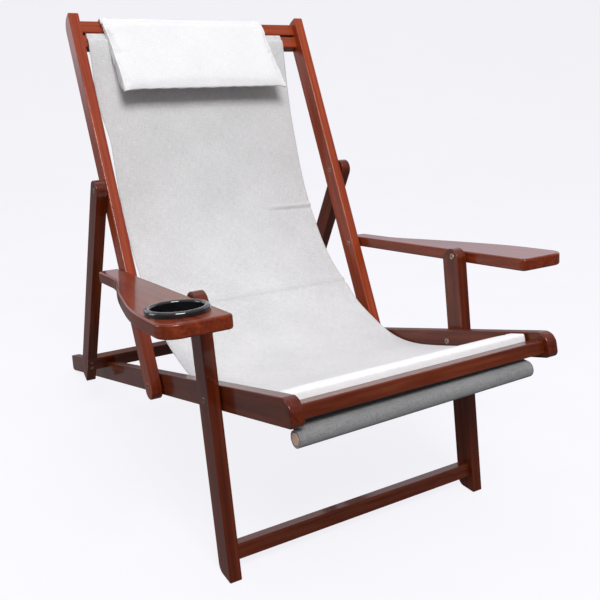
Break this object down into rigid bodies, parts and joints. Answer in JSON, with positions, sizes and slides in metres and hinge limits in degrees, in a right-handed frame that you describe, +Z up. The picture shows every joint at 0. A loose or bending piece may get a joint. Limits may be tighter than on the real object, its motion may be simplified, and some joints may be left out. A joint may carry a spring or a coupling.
{
  "type": "folding beach chair",
  "caption": "Folding wooden beach chair with a canvas sling seat, a head pillow, flat armrests and a cup holder; back, legs, arms and prop fold together.",
  "frame": {"origin": "on the floor, at the middle of the box around the whole chair", "axes": "+X towards the sitter's left, -Y towards the front, +Z up"},
  "size_m": [0.809, 1.34, 0.9717],
  "materials": {
    "varnished_wood": "gloss varnish",
    "bare_wood": "sanded",
    "canvas": "plain weave",
    "pillow_fabric": "fine weave",
    "cup_plastic": "gloss",
    "bolt_steel": "worn plating"
  },
  "bodies": {
    "seat_frame": {"right_seat_rail": "varnished_wood", "left_seat_rail": "varnished_wood", "front_bar": "varnished_wood", "sling_bar": "varnished_wood", "seat_dowels": "bare_wood", "front_sling_rod": "bare_wood", "seat_sling": "canvas", "leg_pivot_bolts": "bolt_steel", "leg_pivot_sleeve_nuts": "bolt_steel", "leg_pivot_washers": "bolt_steel", "back_pivot_bolts": "bolt_steel", "back_pivot_sleeve_nuts": "bolt_steel", "back_pivot_washers": "bolt_steel"},
    "back_frame": {"right_back_rail": "varnished_wood", "left_back_rail": "varnished_wood", "upper_back_bar": "varnished_wood", "lower_back_bar": "varnished_wood", "back_dowels": "bare_wood", "top_sling_rod": "bare_wood", "back_sling": "canvas", "head_pillow": "pillow_fabric"},
    "front_legs": {"right_front_leg": "varnished_wood", "left_front_leg": "varnished_wood", "leg_crossbar": "varnished_wood", "leg_dowels": "bare_wood", "arm_front_bolts": "bolt_steel"},
    "prop_frame": {"right_prop_strut": "varnished_wood", "left_prop_strut": "varnished_wood", "prop_crossbar": "varnished_wood", "prop_screws": "bolt_steel", "prop_pivot_bolts": "bolt_steel", "prop_pivot_sleeve_nuts": "bolt_steel", "prop_pivot_washers": "bolt_steel"},
    "right_arm": {"right_armrest": "varnished_wood", "cup_holder": "cup_plastic", "right_arm_bolt": "bolt_steel", "right_arm_inserts": "bolt_steel"},
    "left_arm": {"left_armrest": "varnished_wood", "left_arm_bolt": "bolt_steel", "left_arm_inserts": "bolt_steel"}
  },
  "joints": [
    {"name": "back_recline", "type": "hinge", "parent": "seat_frame", "child": "back_frame", "pos_m": [0, -0.113, 0.234], "axis": [-1, 0, 0], "range_deg": [0, 75]},
    {"name": "leg_fold", "type": "hinge", "parent": "seat_frame", "child": "front_legs", "pos_m": [0, -0.411, 0.316], "axis": [-1, 0, 0], "range_deg": [0, 88.3]},
    {"name": "right_arm_swing", "type": "hinge", "parent": "back_frame", "child": "right_arm", "pos_m": [0, -0.019, 0.445], "axis": [-1, 0, 0], "range_deg": [-65.6, 0]},
    {"name": "left_arm_swing", "type": "hinge", "parent": "back_frame", "child": "left_arm", "pos_m": [0, -0.019, 0.445], "axis": [-1, 0, 0], "range_deg": [-65.6, 0]},
    {"name": "prop_swing", "type": "hinge", "parent": "back_frame", "child": "prop_frame", "pos_m": [0, 0.065, 0.6125], "axis": [-1, 0, 0], "range_deg": [-126.2, 0]}
  ],
  "couplings": [
    {"joint": "leg_fold", "follows": "back_recline", "ratio": 1.1752},
    {"joint": "right_arm_swing", "follows": "back_recline", "ratio": -0.8725},
    {"joint": "left_arm_swing", "follows": "back_recline", "ratio": -0.8725},
    {"joint": "prop_swing", "follows": "back_recline", "ratio": -1.68}
  ]
}
